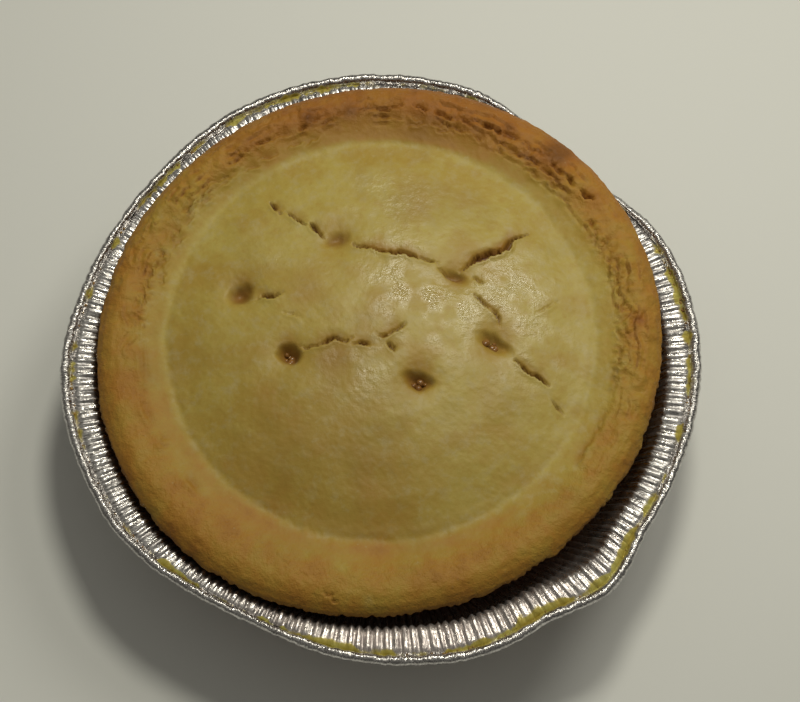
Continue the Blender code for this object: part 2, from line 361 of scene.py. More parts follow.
# torn rows round the browned edge: start, end angle, radius, how many, width, depth
cragRows = (
    (34, 66, 51.3, 7, 1.15, 1.9),
    (62, 97, 50.6, 8, 1.0, 1.6),
    (36, 84, 47.7, 11, 0.7, 1.0),
    (40, 60, 49.4, 5, 0.6, 0.9),
    (66, 92, 49.0, 6, 0.5, 0.7),
    (98, 130, 49.4, 9, 0.7, 1.0),
    (132, 178, 48.2, 11, 0.65, 0.9),
    (104, 170, 46.4, 10, 0.4, 0.5),
    (-13, 31, 48.3, 13, 0.6, 0.9),
    (-8, 26, 49.9, 7, 0.45, 0.6),
    (183, 226, 48.3, 4, 0.35, 0.35),
    (322, 350, 48.0, 3, 0.3, 0.35),
)


def pathDistance(x, y, path):  # distance, share along it, and which side of it
    points = np.array(path, dtype=float)
    spans = np.linalg.norm(np.diff(points, axis=0), axis=1)
    total, gone = spans.sum(), 0.0
    best = np.full(x.shape, 1e9)
    along = np.zeros(x.shape)
    side = np.zeros(x.shape)
    for start, end, span in zip(points, points[1:], spans):
        step = (end - start) / span
        offX, offY = x - start[0], y - start[1]
        run = np.clip(offX * step[0] + offY * step[1], 0, span)
        away = np.hypot(offX - run * step[0], offY - run * step[1])
        nearer = away < best
        best = np.where(nearer, away, best)
        along = np.where(nearer, (gone + run) / total, along)
        side = np.where(nearer, offY - run * step[1], side)
        gone += span
    return best, along, side


def cragPaths():  # short ragged tears strung along each row, from a fixed seed
    dice = np.random.default_rng(11)
    paths = []
    for start, end, radius, count, width, depth in cragRows:
        pitch = (end - start) / count
        for i in range(count):
            first = start + pitch * (i + dice.uniform(-0.2, 0.3))
            last = first + pitch * dice.uniform(0.55, 1.25)
            inner = radius + dice.uniform(-0.7, 0.7)
            lean = dice.uniform(-1.3, 1.3)
            path = []
            for share in np.linspace(0, 1, 6):
                turn = math.radians(first + share * (last - first))
                reach = inner + lean * (share - 0.5) + dice.uniform(-0.35, 0.35)
                path.append((reach * math.cos(turn), reach * math.sin(turn)))
            paths.append((width * dice.uniform(0.5, 1.15), depth * dice.uniform(0.5, 1.1), 0.35, tuple(path)))
    return paths


def smoothProfile(corners, count):  # evenly spaced points, with the corners rounded
    points = np.array(corners, dtype=float)
    run = np.r_[0, np.cumsum(np.hypot(*np.diff(points, axis=0).T))]
    fine = np.linspace(0, run[-1], 1200)
    radius, height = np.interp(fine, run, points[:, 0]), np.interp(fine, run, points[:, 1])
    width = int(1200 * 2.2 / run[-1])
    kernel = np.hanning(width + 2)[1:-1]
    kernel /= kernel.sum()
    padded = np.pad(height, width, mode="reflect")
    smooth = np.convolve(padded, kernel, "same")[width:-width]
    fade = between(radius, 54.5, 56.9)
    height = smooth * (1 - fade) + height * fade
    even = np.linspace(0, run[-1], count)
    return np.interp(even, fine, radius), np.interp(even, fine, height)


def discFaces(rings):  # triangles of a disc whose k-th ring has 6k points
    faces = []
    for k in range(1, rings + 1):
        outer, inner = 1 + 3 * k * (k - 1), 1 + 3 * (k - 1) * (k - 2)
        sector, step = np.meshgrid(np.arange(6), np.arange(k), indexing="ij")
        first = outer + (sector * k + step) % (6 * k)
        second = outer + (sector * k + step + 1) % (6 * k)
        near = inner + (sector * (k - 1) + step) % (6 * (k - 1)) if k > 1 else np.zeros_like(first)
        faces.append(np.stack([near, first, second], -1).reshape(-1, 3))
        if k > 1:
            nextNear = inner + (sector * (k - 1) + step + 1) % (6 * (k - 1))
            keep = step < k - 1
            faces.append(np.stack([near[keep], second[keep], nextNear[keep]], -1))
    return np.vstack(faces)


# heights of the dough's relief in millimetres, from broad to fine
relief = {
    "rolling": 0.30,
    "lumps": 0.12,
    "rimLumps": 0.12,
    "farLumps": 0.38,      # added to the rim's lumps on the far side
    "skin": 0.045,
    "creases": 0.035,
    "ledge": 1.15,
    "ledgeWidth": 1.9,
    "rimGrain": 0.10,
    "farGrain": 0.13,
    "groove": 0.16,
    "ventDip": 0.9,
    "crinkle": 0.085,
}

# where the edge is torn: middle, spread to each side (degrees), how much
tornSides = ((62, 70, 1.0), (146, 62, 0.85), (2, 46, 0.7))

# how brown each part is, from 0 raw to 1 burnt; the near lid's share is painted shade, and the far rim's
# share is partly painted shade
browning = {
    "lid": 0.12,
    "broad": 0.16,
    "fine": 0.07,
    "slope": 0.17,
    "crest": 0.21,
    "edge": 0.07,
    "farRim": 0.27,
    "leftRim": 0.06,
    "nearLidShade": 0.20,
    "wall": 0.18,
    "teeth": 0.12,
}

# x, y, size, how much
burntSpots = ((36.0, 39.6, 3.2, 0.55), (26.3, 45.6, 1.6, 0.35), (-6.3, 50.0, 2.0, 0.3),
              (-15.0, 48.5, 1.8, 0.3), (51.9, 2.2, 1.6, 0.35), (8.0, 52.0, 4.0, 0.14),
              (44.0, 30.0, 3.0, 0.18))
stainedSpots = ((-8.9, -7.3, 3.6, 0.42), (-15.0, 8.4, 3.6, 0.22), (-12.0, 12.0, 4.0, 0.10),
                (2.6, 33.1, 0.45, 0.6), (6.0, 27.0, 6.0, 0.10))
# glossy patches of the lid, which also get a whitish painted sheen
glossAndSheenPatches = ((12.0, 3.5, 8.0, 0.9), (27.0, 9.0, 7.0, 0.75), (3.0, 9.0, 7.0, 0.6), (2.0, 29.0, 12.0, 0.4),
                 (28.0, -4.0, 9.0, 0.4), (-4.0, -9.0, 7.0, 0.4), (-22.0, 16.0, 8.0, 0.25))


def pieGrid():  # rings over the top, more down the wall, and one point underneath
    rings = pie["rings"]
    radii, heights = smoothProfile(pie["top"], rings + 1)
    rows = [(1, 0.0, heights[0])] + [(6 * k, radii[k], heights[k]) for k in range(1, rings + 1)]
    rows += [(6 * rings, reach, level) for reach, level in pie["under"]] + [(1, 0.0, -pie["depth"])]
    crust = SimpleNamespace()
    crust.angle = np.concatenate([np.arange(count) * 2 * np.pi / count for count, reach, level in rows])
    crust.radius = np.concatenate([np.full(count, reach) for count, reach, level in rows])
    crust.height = np.concatenate([np.full(count, level) for count, reach, level in rows])
    crust.degrees = np.degrees(crust.angle)
    crust.x, crust.y = crust.radius * np.cos(crust.angle), crust.radius * np.sin(crust.angle)
    crust.onTop = between(crust.height, -0.2, 1.0)
    crust.onLid = 1 - between(crust.radius, 41.5, 43.5)
    crust.rimBand = between(crust.radius, 45.0, 50.0)
    crust.fine = fractal(crust.x / 2.3, crust.y / 2.3, seed=42)
    for name in ("sunk", "stain", "crack", "vent", "halo", "veil"):
        setattr(crust, name, np.zeros_like(crust.x))
    return crust


def pressDough(crust):  # soft lumps, torn ledges at the browned edge, the groove ring
    x, y, radius, degrees, rimBand = crust.x, crust.y, crust.radius, crust.degrees, crust.rimBand
    farSide = between(y + 0.25 * x, -30.0, 5.0)     # the near side is smoother
    lift = relief["rolling"] * fractal(x / 9, y / 9, octaves=2, seed=1)
    lift += relief["lumps"] * fractal(x / 3.2, y / 3.2, octaves=2, seed=2) * (0.5 + 0.5 * rimBand)
    rimLumps = relief["rimLumps"] + relief["farLumps"] * farSide
    lift += rimBand * rimLumps * fractal(x / 2.6, y / 2.6, seed=3)
    lift += relief["skin"] * fractal(x / 0.8, y / 0.8, octaves=2, seed=4)
    lift += relief["creases"] * valueNoise((x + y) / 0.55, (x - 2 * y) / 1.6, seed=5) * (1 - rimBand)
    torn = between(radius, 45.8, 48.5) * (1 - between(radius, 53.4, 55.0))
    torn = torn * sum(amount * lobe(degrees, centre, spread) for centre, spread, amount in tornSides)
    torn = torn * between(valueNoise(x / 3.4, y / 3.4, seed=14), -0.35, 0.25)
    warp = 1.5 * fractal(x / 4.6, y / 4.6, seed=12) + 0.22 * valueNoise(x / 1.1, y / 1.1, seed=13)
    ledge = (radius + warp) / relief["ledgeWidth"]
    share = ledge - np.floor(ledge)
    lift += relief["ledge"] * torn * (0.5 - share)      # flakes that step up outward
    rimGrain = relief["rimGrain"] + relief["farGrain"] * farSide
    lift += rimBand * rimGrain * fractal(x / 1.1, y / 1.1, octaves=2, seed=15)
    ringWander = 0.7 * valueNoise(degrees / 14, radius * 0, seed=9)
    ringLine = bell(radius - pie["grooveRadius"] - ringWander, 1.0)
    lift -= relief["groove"] * ringLine * (0.7 + 0.6 * valueNoise(x / 1.4, y / 1.4, seed=16))
    crust.lift, crust.torn, crust.share, crust.ringWander = lift, torn, share, ringWander
    crust.tear = torn * bell(np.minimum(share, 1 - share) * relief["ledgeWidth"], 0.24)


def cutCracks(crust):  # each crack sinks, lifts its near lip and browns round itself, with painted shade on its far side
    for width, depth, lip, path in cracks + tuple(cragPaths()):
        corners = np.array(path)
        low, high = corners.min(0) - 4, corners.max(0) + 4
        inside = (crust.x > low[0]) & (crust.x < high[0]) & (crust.y > low[1]) & (crust.y < high[1])
        near = np.where(inside & (crust.height > -0.2))[0]
        x, y = crust.x[near], crust.y[near]
        wobbleX = x + 0.30 * fractal(x / 1.1, y / 1.1, octaves=2, seed=21)
        wobbleY = y + 0.30 * fractal(x / 1.1, y / 1.1, octaves=2, seed=22)
        away, along, side = pathDistance(wobbleX, wobbleY, path)
        taper = np.sin(np.pi * np.clip(along, 0.02, 0.98)) ** 0.75
        uneven = 0.75 + 0.65 * valueNoise(x / 2.0, y / 2.0, seed=23)
        uneven = np.maximum(uneven + 0.3 * valueNoise(x / 0.5, y / 0.5, seed=24), 0.25)
        half = 0.46 * width * taper * uneven
        mask = np.clip((half - away) / 0.24 + 0.5, 0, 1)
        reach = np.maximum(away - half, 0)
        far = between(side, -0.15, 0.25)
        dark = mask * np.clip(depth / 2.2, 0.15, 0.85) * (0.75 + 0.25 * uneven)
        # browned round the crack, and painted shade on the far side, where the slope goes down into the crack
        # away from the light
        brown = lip * (0.3 + 1.3 * far) * bell(reach, 0.5 + 0.8 * far) * taper
        lips = bell(reach, 0.8) * (1 - far) - 0.9 * bell(reach, 1.3) * far
        crust.sunk[near] = np.maximum(crust.sunk[near], depth * mask * (0.5 + 0.5 * taper))
        crust.lift[near] += lip * taper * (1 - mask) * lips
        crust.crack[near] = np.maximum(crust.crack[near], dark)
        crust.stain[near] = np.maximum(crust.stain[near], brown)
        # less painted sheen on that shaded far side
        crust.veil[near] -= 0.5 * bell(reach, 0.8) * far


def sinkVents(crust):  # ragged funnels, darkest inside, with a browned surround
    x, y, onTop = crust.x, crust.y, crust.onTop
    for ventX, ventY, longRadius, shortRadius, turn, depth, dark in vents:
        spin = math.radians(turn)
        offX, offY = x - ventX, y - ventY
        u = (offX * math.cos(spin) + offY * math.sin(spin)) / longRadius
        v = (-offX * math.sin(spin) + offY * math.cos(spin)) / shortRadius
        edge = np.hypot(u, v) + 0.3 * fractal(x / 1.5, y / 1.5, octaves=2, seed=31)
        hole = onTop * between(1.4 - edge, 0.0, 1.35)
        above = np.hypot(offX, np.where(offY > 0, offY * 0.62, offY * 1.2))
        ring = bell(np.maximum(above - 0.7 * longRadius, 0), 1.1)
        crust.sunk = np.maximum(crust.sunk, depth * hole * 0.8)
        crust.lift -= onTop * relief["ventDip"] * bell(np.hypot(offX, offY), 4.0)
        crust.vent = np.maximum(crust.vent, dark * between(1.15 - edge, 0.0, 0.8) * onTop)
        crust.stain = np.maximum(crust.stain, onTop * (0.1 + 0.3 * dark) * ring)
        crust.halo = np.maximum(crust.halo, onTop * bell(np.maximum(above - 0.8 * longRadius, 0), 2.4))
        crust.veil -= 0.8 * bell(above, 3.5)


def brownCrust(crust):  # pale lid, golden slope, brown crest, redder far side, a few burnt places, and painted shade at the torn ledges, far slope and near lid
    x, y, radius, degrees = crust.x, crust.y, crust.radius, crust.degrees
    rimBand, fine = crust.rimBand, crust.fine
    bake = browning["lid"] + browning["broad"] * fractal(x / 11, y / 11, seed=41)
    bake += browning["fine"] * fine
    crest = browning["crest"] * between(radius + 0.8 * fine, 46.6, 50.0)
    bake += browning["slope"] * between(radius, 42.6, 44.6) + crest
    bake += browning["edge"] * between(radius, 53.0, 57.0)
    # the far and left slopes browner; on the far slope this is partly painted shade, as it faces away from
    # the light
    rimShade = browning["farRim"] * lobe(degrees, 85, 66) + browning["leftRim"] * lobe(degrees, 190, 60)
    rimShade = rimShade * between(radius, 42.8, 45.0) * (1 - 0.3 * between(radius, 47, 50))
    bake += rimShade + 0.06 * rimBand * fine
    # painted shade: the near half of the lid browner and darker, as less light reaches it
    bake += browning["nearLidShade"] * lobe(degrees, 245, 110) * between(radius, 8, 30) * (1 - rimBand)
    for spotX, spotY, size, amount in burntSpots:
        bake += amount * bell(np.hypot(x - spotX, y - spotY) + 0.8 * fine, size)
    for spotX, spotY, size, amount in stainedSpots:
        spot = amount * bell(np.hypot((x - spotX) * 0.8, y - spotY) + 0.9 * fine, size)
        crust.stain = np.maximum(crust.stain, spot)
    # painted shade at the torn ledges: at the foot of each step, and a dark line along its cliff
    ledgeFootShade = 0.6 * crust.torn * between(crust.share, 0.75, 1.0)
    crust.stain = np.maximum(crust.stain, ledgeFootShade + 0.3 * crust.tear)
    cliffShade = 0.8 * crust.tear * between(fine, -0.25, 0.2) * (1 - between(radius, 51.5, 53.0))
    crust.crack = np.maximum(crust.crack, cliffShade)
    crust.bake = bake
    crust.blush = between(radius, 44, 52) * (0.75 * lobe(degrees, 65, 85) + 0.45 * lobe(degrees, 190, 60))
    ringTint = bell(radius - pie["grooveRadius"] + 0.3 - crust.ringWander, 1.1)
    crust.pale = np.clip(0.75 * ringTint * (0.55 + 0.45 * valueNoise(degrees / 3, radius, seed=44)), 0, 1)


def glazeLid(crust):  # wet patches with a crinkled skin and a whitish painted sheen, tan clouds, painted shade on the far slope and near lid, and random darker mottling
    x, y, radius, degrees, onLid = crust.x, crust.y, crust.radius, crust.degrees, crust.onLid
    patchy = fractal(x / 3.5, y / 3.5, seed=51)
    for spotX, spotY, size, amount in glossAndSheenPatches:
        crust.veil += amount * bell(np.hypot(x - spotX, y - spotY), size)
    veil = np.clip(crust.veil, 0, 1) * between(patchy, -0.45, 0.25) * (1 - crust.rimBand)
    crinkle = 1 - 2.4 * abs(valueNoise(x / 1.3 + 0.8 * crust.fine, y / 0.9, seed=52))
    crinkle -= 1.2 * abs(valueNoise(x / 0.6, y / 0.55, seed=53))
    crust.lift += relief["crinkle"] * (0.06 + veil) * crinkle * (1 - crust.rimBand) * crust.onTop
    # painted shade on the far slope, which faces away from the light, and on the near lid; then random darker
    # mottling
    shade = 0.26 * lobe(degrees, 88, 75) * between(radius, 43, 45) * (1 - between(radius, 48.5, 51))
    shade += 0.20 * lobe(degrees, 245, 105) * between(radius, 10, 30) * onLid
    shade += 0.10 * between(fractal(x / 9 + 5, y / 9, seed=55), 0.0, 0.5)
    tan = onLid * between(fractal(x / 8 + 3, y / 6, seed=54), -0.05, 0.45)
    tan = np.maximum(tan, onLid * 0.8 * bell(np.hypot(x + 14.5, y - 8.0), 5.5))
    crust.veil, crust.shade, crust.tan = veil, shade, np.maximum(tan, crust.halo)
    crust.glaze = np.clip(0.15 * onLid + veil * onLid, 0, 1)
    crust.grain = np.clip(0.16 + 0.9 * veil + 0.6 * crust.rimBand, 0, 1)


def seatPie(crust):  # the oval outline, the toothed wall, and the tilt in the dish
    radius, degrees, angle = crust.radius, crust.degrees, crust.angle
    height = crust.height + crust.onTop * crust.lift - crust.sunk
    outward = np.clip((radius - pie["grooveRadius"]) / (pie["crustRadius"] - pie["grooveRadius"]), 0, 1)
    stretch = pie["stretch"] * np.cos(2 * np.radians(degrees - pie["stretchAngle"])) * outward
    fade = 1 - np.clip((pie["crustRadius"] - radius) / 16, 0, 1) * (height < 0)
    tooth = 0.5 + 0.5 * np.cos(pie["teeth"] * angle + 2.2 * valueNoise(degrees / 5, 0, seed=61))
    tooth = tooth * (0.65 + 0.7 * valueNoise(degrees / 2.1, 3.0, seed=63))
    toothed = between(-height, -0.9, 0.3) * between(height, -pie["depth"] + 1.5, -pie["depth"] + 5)
    ragged = 0.26 * valueNoise(degrees / 3.1, height / 2, seed=62) * between(-height, -2.2, 0.2)
    ragged += 0.34 * fractal(degrees / 1.3, height / 1.4, octaves=2, seed=64) * between(-height, -1.4, 0.2)
    reach = radius + stretch * np.where(height < -3, np.clip(fade, 0.5, 1), 1)
    reach -= toothed * pie["toothDepth"] * tooth
    reach += ragged * (radius > 40)
    bake = crust.bake + browning["wall"] * between(-height, 0.0, 1.6)
    crust.bake = np.clip(bake + browning["teeth"] * tooth * toothed, 0, 1)
    tilt = math.radians(pie["tilt"])
    x, y = reach * np.cos(angle), reach * np.sin(angle)
    seat = pie["place"]
    return np.stack([
        x + seat[0],
        y * math.cos(tilt) - height * math.sin(tilt) + seat[1],
        y * math.sin(tilt) + height * math.cos(tilt) + seat[2],
    ], -1) * mm


def pieFaces():
    rings, below = pie["rings"], len(pie["under"])
    around = 6 * rings
    edgeStart = 1 + 3 * rings * (rings - 1)
    j = np.arange(around)
    faces = [discFaces(rings)]
    for k in range(below):
        upper = edgeStart + k * around
        lower = upper + around
        a, b = upper + j, lower + j
        c, d = lower + (j + 1) % around, upper + (j + 1) % around
        faces += [np.stack([a, b, c], -1), np.stack([a, c, d], -1)]
    last = edgeStart + below * around
    centre = last + around      # the point underneath
    faces.append(np.stack([last + j, np.full(around, centre), last + (j + 1) % around], -1))
    return np.vstack(faces)


def makePie():
    crust = pieGrid()
    pressDough(crust)
    cutCracks(crust)
    sinkVents(crust)
    brownCrust(crust)
    glazeLid(crust)
    points = seatPie(crust)
    painted = ("bake", "blush", "crack", "vent", "stain", "pale", "glaze", "veil", "tan", "shade", "grain")
    return makeObject("pieCrust", points, pieFaces(), {name: getattr(crust, name) for name in painted})


def pieSurface(x, y, lift=0.0):  # a place on the smooth lid, in metres in the frame
    radii, heights = smoothProfile(pie["top"], 400)
    level = float(np.interp(math.hypot(x, y), radii, heights)) + lift
    tilt = math.radians(pie["tilt"])
    seat = pie["place"]
    return Vector((
        x + seat[0],
        y * math.cos(tilt) - level * math.sin(tilt) + seat[1],
        y * math.sin(tilt) + level * math.cos(tilt) + seat[2],
    )) * mm


crustColours = {
    "ramp": ((0.0, (0.46, 0.365, 0.090)), (0.14, (0.43, 0.325, 0.070)), (0.34, (0.385, 0.255, 0.040)),
             (0.56, (0.38, 0.190, 0.028)), (0.78, (0.27, 0.105, 0.018)), (1.0, (0.08, 0.028, 0.010))),
    "blush": (0.42, 0.165, 0.028, 1),
    "stain": (0.270, 0.108, 0.012, 1),
    "crack": (0.125, 0.043, 0.008, 1),
    "vent": (0.200, 0.085, 0.016, 1),
    "pale": (0.46, 0.385, 0.20, 1),
    # the next colour is a whitish painted sheen over the glossy patches
    "veil": (0.50, 0.42, 0.20, 1),
    "tan": (0.385, 0.245, 0.042, 1),
    "shade": (0.150, 0.095, 0.012, 1),
}


def makeCrustMaterial():
    surface, tree, shader = newMaterial("bakedCrust")
    place = tree.nodes.new("ShaderNodeTexCoord").outputs["Object"]
    close = groupNode(tree, mottleGroup, **{"Blotch Scale": 160.0, "Grain Scale": 1500.0})
    wide = groupNode(tree, mottleGroup, **{"Blotch Scale": 55.0, "Grain Scale": 620.0})

    def broken(name, *span):  # a painted mask, broken up by the blotches
        return times(tree, painted(tree, name), remap(tree, close["Blotch"], *span))

    def over(colour, share, name):
        return mixColour(tree, share, colour, crustColours[name])

    level = painted(tree, "bake")
    for noise, amount in ((close["Blotch"], 0.055), (wide["Blotch"], 0.04), (close["Grain"], 0.035)):
        level = mathNode(tree, "ADD", level, remap(tree, noise, 0.3, 0.7, -amount, amount))
    colour = colourRamp(tree, level, crustColours["ramp"])
    colour = over(colour, broken("blush", 0.25, 0.65, 0.25, 0.8), "blush")
    colour = over(colour, broken("tan", 0.3, 0.6, 0.25, 0.75), "tan")
    curds = noiseNode(tree, place, 430.0, 5.0, 0.65)
    onLid = mathNode(tree, "SUBTRACT", 1.0, remap(tree, painted(tree, "bake"), 0.28, 0.45))
    light = times(tree, remap(tree, curds, 0.50, 0.68, 0.0, 0.40), onLid)
    colour = over(colour, light, "pale")
    deep = times(tree, remap(tree, curds, 0.46, 0.30, 0.0, 0.55), onLid)
    colour = over(colour, deep, "tan")
    # painted sheen: a whitish colour over the glossy patches, where the lamp's highlight falls
    paintedSheen = times(tree, painted(tree, "veil"), remap(tree, close["Grain"], 0.3, 0.7, 0.2, 0.75))
    colour = over(colour, paintedSheen, "veil")
    # real stains, with painted shade beside the cracks and at the ledges
    colour = over(colour, broken("stain", 0.3, 0.65, 0.7, 1.1), "stain")
    flour = times(tree, painted(tree, "pale"), remap(tree, wide["Grain"], 0.42, 0.62))
    colour = over(colour, times(tree, flour, 0.6), "pale")
    specks = times(tree, remap(tree, wide["Speck"], 0.16, 0.08), remap(tree, close["Blotch"], 0.5, 0.62))
    colour = over(colour, times(tree, specks, 0.22), "pale")
    # the crack colour also carries painted shade along the ledge cliffs
    for name in ("shade", "crack", "vent"):
        colour = over(colour, painted(tree, name), name)
    link(tree, colour, shader.inputs["Base Color"])
    glaze = painted(tree, "glaze")
    shine = times(tree, glaze, remap(tree, close["Grain"], 0.35, 0.6, 0.55, 1.0))
    link(tree, remap(tree, shine, 0.0, 1.0, 0.54, 0.08), shader.inputs["Roughness"])
    link(tree, remap(tree, glaze, 0.0, 0.8, 0.22, 0.75), shader.inputs["Specular IOR Level"])
    grain = painted(tree, "grain")
    low = bumpNode(tree, wide["Grain"], grain, 0.00029)
    fine = bumpNode(tree, close["Grain"], grain, 0.00024, low)
    sugar = noiseNode(tree, place, 3200.0, 2.0, 0.6)
    link(tree, bumpNode(tree, sugar, grain, 0.00009, fine), shader.inputs["Normal"])
    return surface


pieCrust = makePie()
pieCrust.data.materials.append(makeCrustMaterial())
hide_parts("pie")
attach(pieCrust, "root")
print("pork pie: crust", len(pieCrust.data.polygons), "faces")

# the foil dish: the same turned profile as the solid, thinner, with its real pleats
dish = {
    "segments": 1296,
    "pleats": 216.0,
    "pleatDepth": 0.42,
    "pleatWander": 13.0,
    "thickness": 0.16,
    "beadCentre": (62.75, 27.1),
    "beadRadius": 0.8,
    "flange": ((61.95, 26.5), (61.7, 26.42), (61.4, 26.6), (61.1, 26.95), (60.3, 26.93), (59.3, 26.80),
               (58.4, 26.64), (57.7, 26.46), (57.3, 26.15)),
    "wallFoot": (43.9, 0.7),
    "wallTop": 26.7,
    "base": ((43.5, 0.2), (43.0, 0.0), (38.0, 0.0), (35.2, 0.0), (34.6, 0.25), (33.6, 0.25), (33.0, 0.0),
             (20.0, 0.0), (6.0, 0.0)),
    "wideFlange": (283, 44, 1.1),       # angle, spread, how far it reaches in at the near side
    # near flange browned, partly a painted reflection of the pie: angle, spread, how much
    "brownedFlange": (275, 62, 0.30),
    "residue": 0.48,
    "wallNoise": 0.22,
    "flangeNoise": 0.25,
    "beadNoiseOut": 0.28,
    "beadNoiseUp": 0.34,
}

# where more yellow residue lies: angle, spread, how much
residueSides = ((128, 45, 0.08), (276, 42, 0.32), (240, 30, 0.3), (320, 50, 0.25))

# angle, spread, push of the wall, push of the rim beyond it, drop of the rim
dishDents = (
    (47, 27, 2.2, -4.4, 4.6),
    (95, 50, 1.7, 0.0, 0.0),
    (150, 34, 0.0, -1.3, 0.0),
    (186, 22, 0.4, 0.4, 0.0),
    (244, 32, -0.9, -2.0, 0.3),
    (288, 18, 0.7, 0.4, 0.0),
    (312, 13, 2.0, 0.6, 0.2),
    (5, 30, 0.3, 0.6, 0.0),
)


def dishProfile():
    centre, size = dish["beadCentre"], dish["beadRadius"]
    bead = []
    for turn in (235, 265, 300, 335, 10, 45, 80, 115, 150, 178):
        around = math.radians(turn)
        bead.append((centre[0] + size * math.cos(around), centre[1] + size * math.sin(around)))
    (topX, topZ), (footX, footZ) = dish["flange"][-1], dish["wallFoot"]
    shares = (0.12, 0.3, 0.5, 0.7, 0.86, 1.0)
    wall = [(topX + (footX - topX) * share, topZ + (footZ - topZ) * share) for share in shares]
    return np.array(bead + list(dish["flange"]) + wall + list(dish["base"]))


def newTree(name, wanted):  # a Geometry Nodes tree with named inputs
    tree = bpy.data.node_groups.new(name, "GeometryNodeTree")
    for label, kind in (("Geometry", "Geometry"), *wanted):
        tree.interface.new_socket(label, in_out="INPUT", socket_type="NodeSocket" + kind)
    tree.interface.new_socket("Geometry", in_out="OUTPUT", socket_type="NodeSocketGeometry")
    return tree, tree.nodes.new("NodeGroupInput").outputs, tree.nodes.new("NodeGroupOutput")


def finishTree(tree, shape, offset, material, end):  # moves the points, then realizes and coats
    move = tree.nodes.new("GeometryNodeSetPosition")
    plain = tree.nodes.new("GeometryNodeRealizeInstances")
    coat = tree.nodes.new("GeometryNodeSetMaterial")
    link(tree, shape, move.inputs["Geometry"])
    link(tree, offset, move.inputs["Offset"])
    link(tree, move.outputs[0], plain.inputs[0])
    link(tree, plain.outputs[0], coat.inputs["Geometry"])
    link(tree, material, coat.inputs["Material"])
    link(tree, coat.outputs[0], end.inputs[0])


def pleatTree():  # presses radial pleats into the foil along its normals
    tree, given, end = newTree("pressPleats", (("Pleats", "Float"), ("Depth", "Float"), ("Wander", "Float"),
                                               ("Coat", "Material")))
    place = tree.nodes.new("GeometryNodeInputPosition").outputs[0]
    split = tree.nodes.new("ShaderNodeSeparateXYZ")
    link(tree, place, split.inputs[0])
    turn = mathNode(tree, "ARCTAN2", split.outputs["Y"], split.outputs["X"])
    flat = tree.nodes.new("ShaderNodeCombineXYZ")
    link(tree, split.outputs["X"], flat.inputs["X"])
    link(tree, split.outputs["Y"], flat.inputs["Y"])
    along = tree.nodes.new("ShaderNodeVectorMath")
    along.operation = "NORMALIZE"
    link(tree, flat.outputs[0], along.inputs[0])
    wobble = noiseNode(tree, along.outputs[0], 7.0, 3.0)
    wobble = times(tree, mathNode(tree, "SUBTRACT", wobble, 0.5), given["Wander"])
    phase = mathNode(tree, "ADD", times(tree, turn, given["Pleats"]), wobble)
    wave = times(tree, mathNode(tree, "ARCSINE", mathNode(tree, "SINE", phase)), 0.64)     # creased folds
    uneven = remap(tree, noiseNode(tree, along.outputs[0], 34.0, 4.0), 0.3, 0.7, 0.5, 1.6)
    patchy = remap(tree, noiseNode(tree, place, 150.0, 2.0), 0.3, 0.7, 0.55, 1.3)
    uneven = times(tree, uneven, patchy)
    reach = tree.nodes.new("GeometryNodeInputNamedAttribute")
    reach.data_type = "FLOAT"
    reach.inputs["Name"].default_value = "pleat"
    amount = times(tree, times(tree, wave, uneven), reach.outputs["Attribute"])
    amount = times(tree, amount, given["Depth"])
    push = tree.nodes.new("ShaderNodeVectorMath")
    push.operation = "SCALE"
    link(tree, tree.nodes.new("GeometryNodeInputNormal").outputs[0], push.inputs[0])
    link(tree, amount, push.inputs["Scale"])
    finishTree(tree, given["Geometry"], push.outputs[0], given["Coat"], end)
    return tree


def setInputs(modifier, values):
    for socket in modifier.node_group.interface.items_tree:
        if getattr(socket, "in_out", "") == "INPUT" and socket.name in values:
            modifier[socket.identifier] = values[socket.name]


foilLook = {
    "dark": (0.55, 0.53, 0.52, 1),
    "bright": (0.80, 0.78, 0.765, 1),
    "streak": (0.36, 0.34, 0.345, 1),
    # brown of baked foil, partly a painted reflection of the brown pie
    "browned": (0.44, 0.29, 0.235, 1),
    "residuePale": (0.47, 0.43, 0.11, 1),
    "residueDeep": (0.42, 0.33, 0.06, 1),
    "streaksAround": 130.0,
    "streaksOutward": 330.0,
    "crinkleHeight": 0.0004,
    "streakHeight": 0.00065,
}


